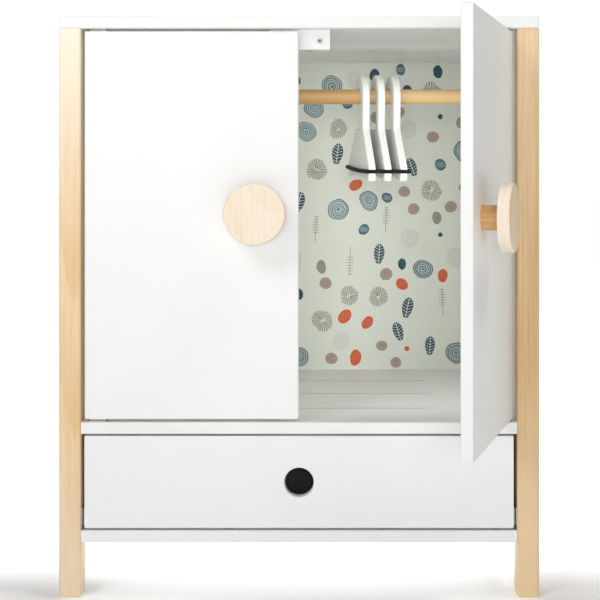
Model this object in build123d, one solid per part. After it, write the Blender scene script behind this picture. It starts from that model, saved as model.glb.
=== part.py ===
from build123d import *
import os
from math import cos, radians, sin

# Miniature wardrobe: four pine posts, white panels, two inset doors on knife hinges, a tilt-down flap
# below the middle shelf, and three flat hangers on a clothes rail.
# +X is the wardrobe's right-hand side, +Y its back and +Z up. The origin is on the floor, midway
# between the four feet. The left door is closed and the right door stands open.

# ---------------------------------------------------------------- driving dimensions, mm
WIDTH = 430.0            # over the posts
HEIGHT = 520.0           # floor to the top panel
DEPTH = 310.0            # over the posts
POST = 20.0              # square section
POST_ROUND = 2.5
FOOT_CHAMFER = 2.0
PANEL = 11.0             # top panel, middle shelf and bottom panel
PANEL_ROUND = 2.0
SIDE_PANEL = 8.0
GROOVE = 5.0             # how far a side panel stands in the posts
BACK_PANEL = 4.0
BACK_INSET = 2.0
BOTTOM_HEIGHT = 49.0     # underside of the bottom panel
SHELF_HEIGHT = 146.0     # underside of the middle shelf
SCORE_LINE = (257.0, 1.2, 1.5)   # length, width and depth of the lines cut in the shelf
SCORE_DEPTHS = (68.0, 148.0, 230.0)  # behind the shelf's front edge

RAIL_R = 7.5
RAIL_HEIGHT = 459.0
RAIL_SOCKET = 5.0        # depth of its blind holes in the side panels

DOOR = 10.0              # thickness of the doors and the flap
DOOR_ROUND = 1.4
DOOR_END_GAP = 2.5       # above and below a door
DOOR_SIDE_GAP = 3.3      # between a door and its post
DOOR_MIDDLE_GAP = 1.0    # between the two doors
OPEN_ANGLE = 73.0        # how far the right door stands open
PIVOT_INSET = 5.0        # hinge pivot to the door's edge

FLAP_SIDE_GAP = 3.2
FLAP_TOP_GAP = 1.5
FLAP_BOTTOM_GAP = 1.6
FLAP_BOTTOM_ROUND = 2.5
FLAP_PIVOT_INSET = 4.5
FINGER_HOLE_R = 13.0

KNOB_DISC_R = 27.1
KNOB_DISC = 10.0
KNOB_DISC_ROUND = 1.2
KNOB_STEM_R = 10.0
KNOB_STEM = 15.5
KNOB_FROM_EDGE = 38.0
KNOB_HEIGHT = 343.5
KNOB_SCREW = (2.0, 22.0, 4.0, 2.4)   # shank radius and length, head radius and height

LEAF = (17.5, 7.0, 1.0)  # length, width and thickness of a hinge leaf
LEAF_SCREW_PLACES = (6.5, 11.5)      # from the pivot
LEAF_SCREW = (0.8, 8.0, 1.5, 0.8)    # shank radius and length, head radius and height
RIVET_R = 1.0
RIVET_HEAD_R = 1.8
RIVET_HEAD = 0.4
RIVET_PLAY = 0.05
RIVET_GAP = 0.3          # between the rivet's head and the moving leaf
RIVET_RECESS = (2.3, 1.2)  # radius and depth of the recess that takes the head

STOP_BLOCK = (55.0, 20.0, 18.0)      # width, depth and height
FLAP_STOP_BLOCK = (50.0, 20.0, 18.0)
STOP_GAP = 0.6           # closed door to stop block
MAGNET_R = 3.0
MAGNET = 5.0
MAGNET_PROUD = 0.4
DOOR_MAGNET_X = 18.2
MAGNET_BELOW_TOP = 10.0
STRIKE_SCREW = (1.25, 8.0, 4.0, 1.6)
BLOCK_SCREW = (1.5, 24.0, 3.0, 2.2)

CARCASS_SCREW = (2.5, 40.0, 4.5, 4.0)
CARCASS_SCREW_SINK = 0.6
HEX_KEY = 4.0
DOWEL_R = 4.0
DOWEL = (17.0, 7.0)      # depth in the post and in the top panel
BACK_SCREW = (1.4, 14.0, 3.0, 1.8)

HANGER_X = (58.9, 74.4, 89.9)
HANGER_YAW = 9.5         # turned on the rail, front end to the right
HANGER_TILT = 3.2        # front end down
HANGER = 7.2             # thickness
HANGER_ROUND = 1.3
HOOK_R = 9.6             # inside
HOOK_BAND = 14.2
HOOK_GAP = 0.35          # between the hook and the top of the rail
HOOK_TIP = -14.0         # angle of the hook's open end, degrees above the horizontal
LIMB = 13.0              # the hook's upright limb, at its front
SHOULDER = -31.0         # heights below are from the hook's centre
SHOULDER_REACH = 16.0    # how far the body's level top runs back
SHOULDER_ROUND = 7.0
LIMB_ROUND = 5.0
ARM_REACH = 58.5
ARM_END_TOP = -68.5
ARM_END_BOTTOM = -82.0
ARM_END_ROUND = 2.5
ARCH = 3.0               # rise of the lower edge at its middle
ARM_SHIFT = -0.8         # puts the hanger's weight under the rail
CORD_R = 1.85
CORD_HEIGHT = -72.0
CORD_BEND = 3.2
CORD_SINK = 0.7          # how far the cord's centre line lies inside the arm's end
CORD_CLEAR = 0.05        # between the cord and the plate's faces

# ---------------------------------------------------------------- derived places
HALF = WIDTH / 2
INNER = HALF - POST
FRONT = -DEPTH / 2
BACK = DEPTH / 2
POST_TOP = HEIGHT - PANEL
SHELF_TOP = SHELF_HEIGHT + PANEL
BOTTOM_TOP = BOTTOM_HEIGHT + PANEL
DOOR_LOW = SHELF_TOP + DOOR_END_GAP
DOOR_HIGH = POST_TOP - DOOR_END_GAP
DOOR_BACK = FRONT + DOOR
PIVOT_Y = FRONT + DOOR / 2
PIVOT_X = INNER - DOOR_SIDE_GAP - PIVOT_INSET
FLAP_LOW = BOTTOM_TOP + FLAP_BOTTOM_GAP
FLAP_HIGH = SHELF_HEIGHT - FLAP_TOP_GAP
FLAP_END = INNER - FLAP_SIDE_GAP
FLAP_PIVOT_Z = FLAP_LOW + FLAP_PIVOT_INSET
FINGER_HOLE_Z = (FLAP_LOW + FLAP_HIGH) / 2
BLOCK_FRONT = DOOR_BACK + STOP_GAP
UP = (0, 0, 1)
DOWN = (0, 0, -1)
BACKWARD = (0, 1, 0)
FORWARD = (0, -1, 0)


# ---------------------------------------------------------------- helpers
def box(x0, x1, y0, y1, z0, z1):
    centre = ((x0 + x1) / 2, (y0 + y1) / 2, (z0 + z1) / 2)
    return Pos(*centre) * Box(abs(x1 - x0), abs(y1 - y0), abs(z1 - z0))


def rounded(solid, radius):
    return fillet(solid.edges(), radius)


def rod(start, direction, radius, length):
    """A cylinder that begins at start and runs along direction."""
    upright = Cylinder(radius, length, align=(Align.CENTER, Align.CENTER, Align.MIN))
    return Plane(origin=start, z_dir=direction) * upright


def cone(start, direction, first_radius, last_radius, length):
    place = Plane(origin=start, z_dir=direction)
    return place * Cone(first_radius, last_radius, length, align=(Align.CENTER, Align.CENTER, Align.MIN))


def along(start, direction, distance):
    return tuple(a + b * distance for a, b in zip(start, direction))


def countersunk(start, direction, size):
    """A countersunk screw with its head's flat face at start, and its cross recess still filled."""
    shank_r, length, head_r, head = size
    screw = cone(start, direction, head_r, shank_r, head)
    screw += rod(along(start, direction, head), direction, shank_r, length - head - shank_r)
    return screw + cone(along(start, direction, length - shank_r), direction, shank_r, shank_r * 0.2, shank_r)


def pan_head(start, direction, size):
    """A screw whose domed head stands on the surface at start, with its cross recess still filled."""
    shank_r, length, head_r, head = size
    cap = rod(along(start, direction, -head), direction, head_r, head)
    rim = cap.faces().sort_by(lambda face: (face.center() - Vector(*start)).dot(Vector(*direction)))[0]
    cap = fillet(rim.edges(), head * 0.6)
    return cap + rod(start, direction, shank_r, length)


def crossed(screw, top, direction, head_r):
    """The screw with a cross recess cut in its head, which has its highest point at top."""
    place = Plane(origin=top, z_dir=direction)
    sunk = (Align.CENTER, Align.CENTER, Align.MIN)
    depth = head_r * 0.35
    slots = [place * Box(head_r * 1.1, head_r * 0.24, depth, align=sunk)]
    slots.append(place * Box(head_r * 0.24, head_r * 1.1, depth, align=sunk))
    return screw - slots


def group(pieces):
    return Compound(children=list(pieces))


# ---------------------------------------------------------------- hinges
def leaf(pivot, length_dir, thick_dir):
    """A steel leaf with one round end, centred on pivot, whose outer face holds pivot."""
    length, width, thickness = LEAF
    radius = width / 2
    straight = length - radius
    outline = Pos(straight / 2, 0) * Rectangle(straight, width) + Circle(radius)
    place = Plane(origin=pivot, x_dir=length_dir, z_dir=thick_dir)
    return extrude(place * outline, thickness)


def knife_hinge(frame_pivot, door_pivot, length_dir, out_of_frame):
    """One knife hinge: its two leaves, rivet, screws, and what the wood on each side has to make room for.

    out_of_frame points from the frame's face to the door's edge.
    """
    into_frame = tuple(-v for v in out_of_frame)
    gap = sum(abs(a - b) for a, b in zip(frame_pivot, door_pivot))
    door_side = along(door_pivot, out_of_frame, -LEAF[2])
    frame_screws = [countersunk(along(along(frame_pivot, out_of_frame, LEAF[2]), length_dir, s), into_frame,
                                LEAF_SCREW) for s in LEAF_SCREW_PLACES]
    door_screws = [countersunk(along(door_side, length_dir, s), out_of_frame, LEAF_SCREW)
                   for s in LEAF_SCREW_PLACES]
    shank = gap + RIVET_GAP
    rivet = rod(frame_pivot, out_of_frame, RIVET_R, shank)
    rivet += rod(along(frame_pivot, out_of_frame, shank), out_of_frame, RIVET_HEAD_R, RIVET_HEAD)
    frame_leaf = leaf(frame_pivot, length_dir, out_of_frame) - rivet - frame_screws
    play = rod(frame_pivot, out_of_frame, RIVET_R + RIVET_PLAY, gap)
    door_leaf = leaf(door_side, length_dir, out_of_frame) - play - door_screws
    recess = rod(door_pivot, out_of_frame, *RIVET_RECESS)
    head_r = LEAF_SCREW[2]
    return {
        "frame_leaf": frame_leaf,
        "rivet": rivet,
        "door_leaf": door_leaf,
        "in_frame": frame_screws,
        "in_door": door_screws + [recess],
        "frame_screws": [crossed(s, along(along(frame_pivot, out_of_frame, LEAF[2]), length_dir, at),
                                 into_frame, head_r) for s, at in zip(frame_screws, LEAF_SCREW_PLACES)],
        "door_screws": [crossed(s, along(door_side, length_dir, at), out_of_frame, head_r)
                        for s, at in zip(door_screws, LEAF_SCREW_PLACES)],
    }


def door_hinges(side):
    """The top and bottom hinge of one door; side is -1 for the left door and 1 for the right one."""
    x = side * PIVOT_X
    inward = (-side, 0, 0)
    top = knife_hinge((x, PIVOT_Y, POST_TOP), (x, PIVOT_Y, DOOR_HIGH), inward, DOWN)
    bottom = knife_hinge((x, PIVOT_Y, SHELF_TOP), (x, PIVOT_Y, DOOR_LOW), inward, UP)
    return {"top": top, "bottom": bottom}


def flap_hinge(side):
    outer = (side * INNER, PIVOT_Y, FLAP_PIVOT_Z)
    inner = (side * FLAP_END, PIVOT_Y, FLAP_PIVOT_Z)
    return knife_hinge(outer, inner, UP, (-side, 0, 0))


# ---------------------------------------------------------------- moving parts
def door(side, hinges):
    """A closed door with its knob, screws, strike screw and hinge leaves, by node name."""
    name = "left" if side < 0 else "right"
    near = side * DOOR_MIDDLE_GAP / 2
    far = side * (INNER - DOOR_SIDE_GAP)
    knob_x = near + side * KNOB_FROM_EDGE
    panel = rounded(box(near, far, FRONT, DOOR_BACK, DOOR_LOW, DOOR_HIGH), DOOR_ROUND)
    bolt = pan_head((knob_x, DOOR_BACK, KNOB_HEIGHT), FORWARD, KNOB_SCREW)
    strike_at = (side * DOOR_MAGNET_X, DOOR_BACK, POST_TOP - MAGNET_BELOW_TOP)
    strike = countersunk(strike_at, FORWARD, STRIKE_SCREW)
    stem = rod((knob_x, FRONT, KNOB_HEIGHT), FORWARD, KNOB_STEM_R, KNOB_STEM)
    disc = rod((knob_x, FRONT - KNOB_STEM, KNOB_HEIGHT), FORWARD, KNOB_DISC_R, KNOB_DISC)
    disc = fillet(disc.edges(), KNOB_DISC_ROUND)
    cuts = [bolt, strike] + hinges["top"]["in_door"] + hinges["bottom"]["in_door"]
    head_top = (knob_x, DOOR_BACK + KNOB_SCREW[3], KNOB_HEIGHT)
    return {
        f"{name}_door_panel": panel - cuts,
        f"{name}_knob_stem": stem - bolt,
        f"{name}_knob_disc": disc - bolt,
        f"{name}_knob_screw": crossed(bolt, head_top, FORWARD, KNOB_SCREW[2]),
        f"{name}_door_strike": crossed(strike, strike_at, FORWARD, STRIKE_SCREW[2]),
        f"{name}_door_leaf_top": hinges["top"]["door_leaf"],
        f"{name}_door_leaf_bottom": hinges["bottom"]["door_leaf"],
        f"{name}_door_leaf_screws": group(hinges["top"]["door_screws"] + hinges["bottom"]["door_screws"]),
    }


def opened(solid, side, angle):
    """A part of one door, turned about that door's hinge line."""
    pivot = Pos(side * PIVOT_X, PIVOT_Y, 0)
    return pivot * Rot(0, 0, angle) * pivot.inverse() * solid


def flap(hinges):
    panel = box(-FLAP_END, FLAP_END, FRONT, DOOR_BACK, FLAP_LOW, FLAP_HIGH)
    low = panel.faces().sort_by(Axis.Z)[0].edges().filter_by(Axis.X)
    panel = fillet(low, FLAP_BOTTOM_ROUND)
    panel = fillet(panel.faces().sort_by(Axis.Z)[-1].edges().filter_by(Axis.X), DOOR_ROUND)
    hole = rod((0, FRONT - 1, FINGER_HOLE_Z), BACKWARD, FINGER_HOLE_R, DOOR + 2)
    panel -= hole
    rims = panel.edges().filter_by(GeomType.CIRCLE).filter_by(lambda e: e.radius == FINGER_HOLE_R)
    panel = fillet(rims, DOOR_ROUND)
    strike_at = (0, DOOR_BACK, SHELF_HEIGHT - FLAP_STOP_BLOCK[2] / 2)
    strike = countersunk(strike_at, FORWARD, STRIKE_SCREW)
    panel -= [strike] + hinges["left"]["in_door"] + hinges["right"]["in_door"]
    return {
        "flap_panel": panel,
        "flap_strike": crossed(strike, strike_at, FORWARD, STRIKE_SCREW[2]),
        "flap_leaf_left": hinges["left"]["door_leaf"],
        "flap_leaf_right": hinges["right"]["door_leaf"],
        "flap_leaf_screws": group(hinges["left"]["door_screws"] + hinges["right"]["door_screws"]),
    }


def hanger_outline():
    """The hanger's flat shape: X runs along the arms to the back, and Y is up from the hook's centre."""
    outer_r = HOOK_R + HOOK_BAND
    reach = outer_r * 2
    tip = radians(HOOK_TIP)
    mouth = [(0, 0), (reach * cos(tip), reach * sin(tip)), (reach, -reach), (-reach, -reach), (-reach, 0)]
    hook = Circle(outer_r) - Circle(HOOK_R) - make_face(Polyline(*mouth, close=True))
    limb = make_face(Polyline((-outer_r, 0), (LIMB - outer_r, 0), (LIMB - outer_r, SHOULDER - 1),
                              (-outer_r, SHOULDER - 1), close=True))
    far, near = ARM_SHIFT + ARM_REACH, ARM_SHIFT - ARM_REACH
    over = Polyline((near, ARM_END_BOTTOM), (near, ARM_END_TOP), (-outer_r, SHOULDER),
                    (SHOULDER_REACH, SHOULDER), (far, ARM_END_TOP), (far, ARM_END_BOTTOM))
    under = ThreePointArc((far, ARM_END_BOTTOM), (ARM_SHIFT, ARM_END_BOTTOM + ARCH), (near, ARM_END_BOTTOM))
    return hook + limb + make_face(over.edges() + under.edges())


def eased(plate):
    """The hanger's plate with its shoulders, arm ends and hook tip rounded."""
    limb_back = LIMB - HOOK_R - HOOK_BAND

    def radius(edge):
        y, z = edge.center().Y, edge.center().Z
        if z < ARM_END_TOP + 1 or (y > HOOK_R / 2 and z > SHOULDER / 2):
            return ARM_END_ROUND
        if abs(z - SHOULDER) > 1:
            return 0
        return LIMB_ROUND if abs(y - limb_back) < 1 else SHOULDER_ROUND

    for size in (ARM_END_ROUND, LIMB_ROUND, SHOULDER_ROUND):
        edges = [edge for edge in plate.edges().filter_by(Axis.X) if radius(edge) == size]
        plate = fillet(edges, size)
    return plate


def cord_loop():
    """The elastic cord round the arms' ends, lying against both faces of the hanger."""
    side = HANGER / 2 + CORD_R + CORD_CLEAR
    length = 2 * (ARM_REACH - CORD_SINK)
    path = Pos(0, ARM_SHIFT, CORD_HEIGHT) * RectangleRounded(2 * side, length, CORD_BEND).wire()
    start = path.edges().sort_by(SortBy.LENGTH)[-1]
    section = Plane(origin=start @ 0.5, z_dir=start % 0.5) * Circle(CORD_R)
    return sweep(section, path=path)


def hanger():
    """One hanger and its cord, facing along X with the hook's centre at the origin."""
    plate = eased(extrude(Plane.YZ * hanger_outline(), HANGER / 2, both=True))
    faces = plate.faces().sort_by(SortBy.AREA)[-2:]
    plate = fillet(faces[0].edges() + faces[1].edges(), HANGER_ROUND)
    cord = cord_loop()
    return plate - cord, cord


# ---------------------------------------------------------------- fixed parts
def post(side, end, screws):
    """One post; side is -1 left or 1 right, end is -1 front or 1 rear."""
    x0, x1 = side * INNER, side * HALF
    y0 = end * (DEPTH / 2 - POST)
    y1 = end * DEPTH / 2
    solid = box(x0, x1, y0, y1, 0, POST_TOP)
    solid = fillet(solid.edges().filter_by(Axis.Z), POST_ROUND)
    solid = chamfer(solid.faces().sort_by(Axis.Z)[0].edges(), FOOT_CHAMFER)
    groove = box(side * INNER, side * (INNER + SIDE_PANEL), y0, y0 + end * GROOVE, BOTTOM_HEIGHT, POST_TOP)
    return solid - groove - screws


def side_panel(side):
    half_depth = DEPTH / 2 - POST + GROOVE
    panel = box(side * INNER, side * (INNER + SIDE_PANEL), -half_depth, half_depth, BOTTOM_HEIGHT, POST_TOP)
    return panel - rod((side * INNER, 0, RAIL_HEIGHT), (side, 0, 0), RAIL_R, RAIL_SOCKET)


def between_posts(low, screws):
    """A panel between the four posts, with its front edge rounded."""
    panel = box(-INNER, INNER, FRONT, BACK, low, low + PANEL)
    panel = fillet(panel.faces().sort_by(Axis.Y)[0].edges().filter_by(Axis.X), PANEL_ROUND)
    return panel - screws


def score_lines():
    length, width, depth = SCORE_LINE
    return [box(-length / 2, length / 2, FRONT + at - width / 2, FRONT + at + width / 2, SHELF_TOP - depth,
                SHELF_TOP + 1) for at in SCORE_DEPTHS]


def magnet(x, z):
    solid = rod((x, BLOCK_FRONT - MAGNET_PROUD, z), BACKWARD, MAGNET_R, MAGNET)
    return fillet(solid.faces().sort_by(Axis.Y)[0].edges(), MAGNET_PROUD)


def stop_block(size, top):
    """A block under a panel, with rounded lower edges, that a door or the flap closes against."""
    width, depth, height = size
    block = box(-width / 2, width / 2, BLOCK_FRONT, BLOCK_FRONT + depth, top - height, top)
    return fillet(block.faces().sort_by(Axis.Z)[0].edges(), DOOR_ROUND)


def carcass_screws(side, end):
    """The screws through one post into the bottom panel and the middle shelf, with their sockets filled."""
    y = end * (DEPTH / 2 - POST / 2)
    head_r, head = CARCASS_SCREW[2], CARCASS_SCREW[3]
    screws = []
    for z in (BOTTOM_HEIGHT + PANEL / 2, SHELF_HEIGHT + PANEL / 2):
        start = (side * (HALF - CARCASS_SCREW_SINK), y, z)
        inward = (-side, 0, 0)
        screw = rod(start, inward, head_r, head)
        screw += rod(along(start, inward, head), inward, CARCASS_SCREW[0], CARCASS_SCREW[1] - head)
        screws.append((screw, start, inward))
    return screws


def hex_socketed(screw, start, inward):
    key = extrude(Plane(origin=start, z_dir=inward) * RegularPolygon(HEX_KEY / 2, 6, major_radius=False), 2.5)
    return screw - key


def head_bore(start, inward):
    """The short hole outside a sunk screw head."""
    length = CARCASS_SCREW_SINK + 1
    return rod(along(start, inward, -length), inward, CARCASS_SCREW[2], length)


# ---------------------------------------------------------------- assembly
nodes = {}
hinges = {-1: door_hinges(-1), 1: door_hinges(1)}
flap_hinges = {"left": flap_hinge(-1), "right": flap_hinge(1)}

corners = [(side, end) for side in (-1, 1) for end in (-1, 1)]
long_screws = {corner: carcass_screws(*corner) for corner in corners}
dowels = {(s, e): rod((s * (HALF - POST / 2), e * (DEPTH / 2 - POST / 2), POST_TOP - DOWEL[0]), UP, DOWEL_R,
                      sum(DOWEL)) for s, e in corners}

back_face = BACK + BACK_PANEL
post_x = HALF - POST / 2
back_places = [(s * post_x, z) for s in (-1, 1) for z in (75.0, 215.0, 355.0, 490.0)]
back_places += [(x, z) for x in (-95.0, 95.0) for z in (BOTTOM_HEIGHT + PANEL / 2, SHELF_HEIGHT + PANEL / 2)]
back_screws = [countersunk((x, back_face, z), FORWARD, BACK_SCREW) for x, z in back_places]

block_screws = []
for size, top in ((STOP_BLOCK, POST_TOP), (FLAP_STOP_BLOCK, SHELF_HEIGHT)):
    for x in (-9.0, 9.0):
        start = (x, BLOCK_FRONT + size[1] / 2, top - size[2])
        block_screws.append((countersunk(start, UP, BLOCK_SCREW), start))
block_solids = [screw for screw, start in block_screws]

for side, end in corners:
    name = f"post_{'front' if end < 0 else 'rear'}_{'left' if side < 0 else 'right'}"
    holes = [dowels[side, end]] + back_screws
    for screw, start, inward in long_screws[side, end]:
        holes += [screw, head_bore(start, inward)]
    if end < 0:
        holes += flap_hinges["left" if side < 0 else "right"]["in_frame"]
    nodes[name] = post(side, end, holes)
nodes["side_panel_left"] = side_panel(-1)
nodes["side_panel_right"] = side_panel(1)

panel_screws = [screw for group_ in long_screws.values() for screw, start, inward in group_] + back_screws
shelf_holes = panel_screws + block_solids + hinges[-1]["bottom"]["in_frame"] + hinges[1]["bottom"]["in_frame"]
nodes["middle_shelf"] = between_posts(SHELF_HEIGHT, shelf_holes + score_lines())
nodes["bottom_panel"] = between_posts(BOTTOM_HEIGHT, panel_screws)

top_holes = list(dowels.values()) + block_solids
top_holes += hinges[-1]["top"]["in_frame"] + hinges[1]["top"]["in_frame"]
top = rounded(box(-HALF, HALF, FRONT, back_face, POST_TOP, HEIGHT), PANEL_ROUND)
nodes["top_panel"] = top - top_holes
back = box(-HALF + BACK_INSET, HALF - BACK_INSET, BACK, back_face, BOTTOM_HEIGHT, POST_TOP)
nodes["back_panel"] = back - back_screws

socket_end = INNER + RAIL_SOCKET
nodes["clothes_rail"] = rod((-socket_end, 0, RAIL_HEIGHT), (1, 0, 0), RAIL_R, 2 * socket_end)

door_magnets = [magnet(s * DOOR_MAGNET_X, POST_TOP - MAGNET_BELOW_TOP) for s in (-1, 1)]
flap_magnet = magnet(0, SHELF_HEIGHT - FLAP_STOP_BLOCK[2] / 2)
nodes["door_stop_block"] = stop_block(STOP_BLOCK, POST_TOP) - door_magnets - block_solids
nodes["flap_stop_block"] = stop_block(FLAP_STOP_BLOCK, SHELF_HEIGHT) - flap_magnet - block_solids
nodes["door_magnets"] = group(door_magnets)
nodes["flap_magnet"] = flap_magnet
nodes["stop_block_screws"] = group(crossed(screw, start, UP, BLOCK_SCREW[2]) for screw, start in block_screws)
nodes["carcass_screws"] = group(hex_socketed(*screw) for group_ in long_screws.values() for screw in group_)
nodes["top_dowels"] = group(dowels.values())
nodes["back_panel_screws"] = group(crossed(screw, (x, back_face, z), FORWARD, BACK_SCREW[2])
                                   for screw, (x, z) in zip(back_screws, back_places))

frame_leaf_screws = []
rivets = []
for side, name in ((-1, "left"), (1, "right")):
    for end in ("top", "bottom"):
        nodes[f"{name}_frame_leaf_{end}"] = hinges[side][end]["frame_leaf"]
        frame_leaf_screws += hinges[side][end]["frame_screws"]
        rivets.append(hinges[side][end]["rivet"])
    nodes[f"flap_frame_leaf_{name}"] = flap_hinges[name]["frame_leaf"]
    frame_leaf_screws += flap_hinges[name]["frame_screws"]
    rivets.append(flap_hinges[name]["rivet"])
nodes["frame_leaf_screws"] = group(frame_leaf_screws)
nodes["hinge_rivets"] = group(rivets)

nodes.update(door(-1, hinges[-1]))
nodes.update({name: opened(solid, 1, OPEN_ANGLE) for name, solid in door(1, hinges[1]).items()})
nodes.update(flap(flap_hinges))

wood, cord = hanger()
hook_centre = RAIL_HEIGHT + RAIL_R + HOOK_GAP - HOOK_R
for number, x in enumerate(HANGER_X, 1):
    place = Pos(x, 0, hook_centre) * Rot(0, 0, HANGER_YAW) * Rot(HANGER_TILT, 0, 0)
    nodes[f"hanger_{number}"] = place * wood
    nodes[f"hanger_{number}_cord"] = place * cord

os.makedirs("parts", exist_ok=True)
for name, solid in nodes.items():
    export_step(solid, f"parts/{name}.step")
print(len(nodes), "nodes written")
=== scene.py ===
import random
from math import cos, pi, radians, sin

import bmesh
import bpy
from mathutils import Matrix, Vector


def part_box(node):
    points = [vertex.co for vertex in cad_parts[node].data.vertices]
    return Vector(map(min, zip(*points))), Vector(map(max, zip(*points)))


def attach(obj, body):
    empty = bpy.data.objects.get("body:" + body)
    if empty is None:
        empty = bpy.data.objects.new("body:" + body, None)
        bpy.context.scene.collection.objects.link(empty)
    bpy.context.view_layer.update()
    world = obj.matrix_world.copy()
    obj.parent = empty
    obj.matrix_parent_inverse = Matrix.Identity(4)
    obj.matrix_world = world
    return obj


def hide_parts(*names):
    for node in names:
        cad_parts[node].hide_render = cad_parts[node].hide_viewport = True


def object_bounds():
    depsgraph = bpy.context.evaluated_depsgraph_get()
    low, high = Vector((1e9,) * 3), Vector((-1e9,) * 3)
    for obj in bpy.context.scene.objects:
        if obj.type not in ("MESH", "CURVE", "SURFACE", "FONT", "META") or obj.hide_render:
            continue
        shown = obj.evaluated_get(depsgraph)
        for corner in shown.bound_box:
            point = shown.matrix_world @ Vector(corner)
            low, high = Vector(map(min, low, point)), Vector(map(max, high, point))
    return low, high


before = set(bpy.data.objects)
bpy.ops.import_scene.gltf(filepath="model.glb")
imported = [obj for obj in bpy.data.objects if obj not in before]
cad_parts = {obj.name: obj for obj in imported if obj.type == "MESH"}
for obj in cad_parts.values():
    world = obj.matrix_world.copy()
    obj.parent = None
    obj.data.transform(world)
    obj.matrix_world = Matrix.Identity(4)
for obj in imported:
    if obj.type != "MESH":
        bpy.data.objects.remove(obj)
CAD_BOUNDS = [list(corner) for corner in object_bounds()]
MM = 0.001
DOOR_OPEN = 73.0   # degrees that the right door stands open at rest


# ------------------------------------------------------------------ node helpers
MIX_FACTOR, MIX_FIRST, MIX_SECOND, MIX_RESULT = 0, 6, 7, 2   # the sockets of a Mix node for colours
FLAT_NORMAL = 0.995    # the largest part of the normal on a flat face,
ROUND_NORMAL = 0.86    # and well round a rounded edge


class Shader:
    """One material's node tree. Most methods add a node and return its output socket."""

    def __init__(self, name):
        self.material = bpy.data.materials.new(name)
        self.material.use_nodes = True
        self.tree = self.material.node_tree
        self.tree.nodes.clear()
        self.surface = self.tree.nodes.new("ShaderNodeBsdfPrincipled")
        output = self.tree.nodes.new("ShaderNodeOutputMaterial")
        self.tree.links.new(self.surface.outputs["BSDF"], output.inputs["Surface"])

    def put(self, socket, value):
        """Links a socket to another socket, or gives it a constant."""
        if isinstance(value, bpy.types.NodeSocket):
            self.tree.links.new(value, socket)
        elif socket.type == "RGBA" and len(value) == 3:
            socket.default_value = (*value, 1.0)
        else:
            socket.default_value = value

    def set(self, **inputs):
        """Fills in the surface shader and returns the finished material."""
        for name, value in inputs.items():
            self.put(self.surface.inputs[name.replace("_", " ")], value)
        return self.material

    def node(self, kind, settings=(), **inputs):
        """Adds a node and returns the node itself."""
        made = self.tree.nodes.new(kind)
        for name, value in dict(settings).items():
            setattr(made, name, value)
        for name, value in inputs.items():
            self.put(made.inputs[name.replace("_", " ")], value)
        return made

    def math(self, operation, *values):
        """One sum of a Math node, with as many values as the operation takes."""
        made = self.tree.nodes.new("ShaderNodeMath")
        made.operation = operation
        for socket, value in zip(made.inputs, values):
            self.put(socket, value)
        return made.outputs[0]

    def blend(self, factor, first, second, mode="MIX"):
        """Goes from the first colour to the second as factor goes from 0 to 1."""
        made = self.tree.nodes.new("ShaderNodeMix")
        made.data_type = "RGBA"
        made.blend_type = mode
        for place, value in ((MIX_FACTOR, factor), (MIX_FIRST, first), (MIX_SECOND, second)):
            self.put(made.inputs[place], value)
        return made.outputs[MIX_RESULT]

    def remap(self, value, low, high, new_low=0.0, new_high=1.0, smooth=False):
        """Takes low to new_low and high to new_high, and stays between them beyond."""
        made = self.node("ShaderNodeMapRange")
        made.interpolation_type = "SMOOTHSTEP" if smooth else "LINEAR"
        for socket, item in zip(made.inputs, (value, low, high, new_low, new_high)):
            self.put(socket, item)
        return made.outputs[0]

    def tinge(self, colour, mask, low, high, amount, tint, smooth=False):
        """Mixes tint into colour, from nothing where mask is at low to amount where it is at high."""
        return self.blend(self.remap(mask, low, high, 0.0, amount, smooth), colour, tint)

    def ramp(self, value, *stops):
        """A colour ramp through stops, each a (place, colour)."""
        made = self.tree.nodes.new("ShaderNodeValToRGB")
        points = made.color_ramp.elements
        while len(points) < len(stops):
            points.new(0.5)
        for point, (place, colour) in zip(points, stops):
            point.position = place
            point.color = (*colour, 1.0)
        self.put(made.inputs[0], value)
        return made.outputs[0]

    def split(self, vector):
        """The three parts of a vector."""
        return self.node("ShaderNodeSeparateXYZ", Vector=vector).outputs

    def turned_back(self, vector, turn):
        """A vector turned back by turn degrees about the upright axis."""
        if not turn:
            return vector
        settings = {"rotation_type": "Z_AXIS"}
        return self.node("ShaderNodeVectorRotate", settings, Vector=vector, Angle=radians(-turn)).outputs[0]

    def place(self, turn=0.0, shift=(0, 0, 0), stretch=(1, 1, 1)):
        """Object coordinates, turned back by turn degrees, then stretched and moved."""
        where = self.turned_back(self.node("ShaderNodeTexCoord").outputs["Object"], turn)
        return self.node("ShaderNodeMapping", Vector=where, Location=shift, Scale=stretch).outputs[0]

    def normal(self, turn=0.0):
        """The three parts of the surface's normal, turned back by turn degrees."""
        return self.split(self.turned_back(self.node("ShaderNodeTexCoord").outputs["Normal"], turn))

    def noise(self, vector, scale, detail, roughness=0.5):
        return self.node("ShaderNodeTexNoise", Vector=vector, Scale=scale, Detail=detail,
                         Roughness=roughness).outputs["Fac"]

    def noise_along(self, value, scale, detail):
        """Noise that depends on one number only."""
        settings = {"noise_dimensions": "1D"}
        return self.node("ShaderNodeTexNoise", settings, W=value, Scale=scale, Detail=detail).outputs["Fac"]

    def bump(self, height, strength, distance):
        made = self.node("ShaderNodeBump", Height=height, Strength=strength, Distance=distance)
        return made.outputs["Normal"]

    def edges(self, turn=0.0):
        """1 on the rounded edges of a square-cut piece, 0 on its flat faces."""
        sizes = [self.math("ABSOLUTE", part) for part in self.normal(turn)]
        largest = self.math("MAXIMUM", self.math("MAXIMUM", sizes[0], sizes[1]), sizes[2])
        return self.remap(largest, FLAT_NORMAL, ROUND_NORMAL)


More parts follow.
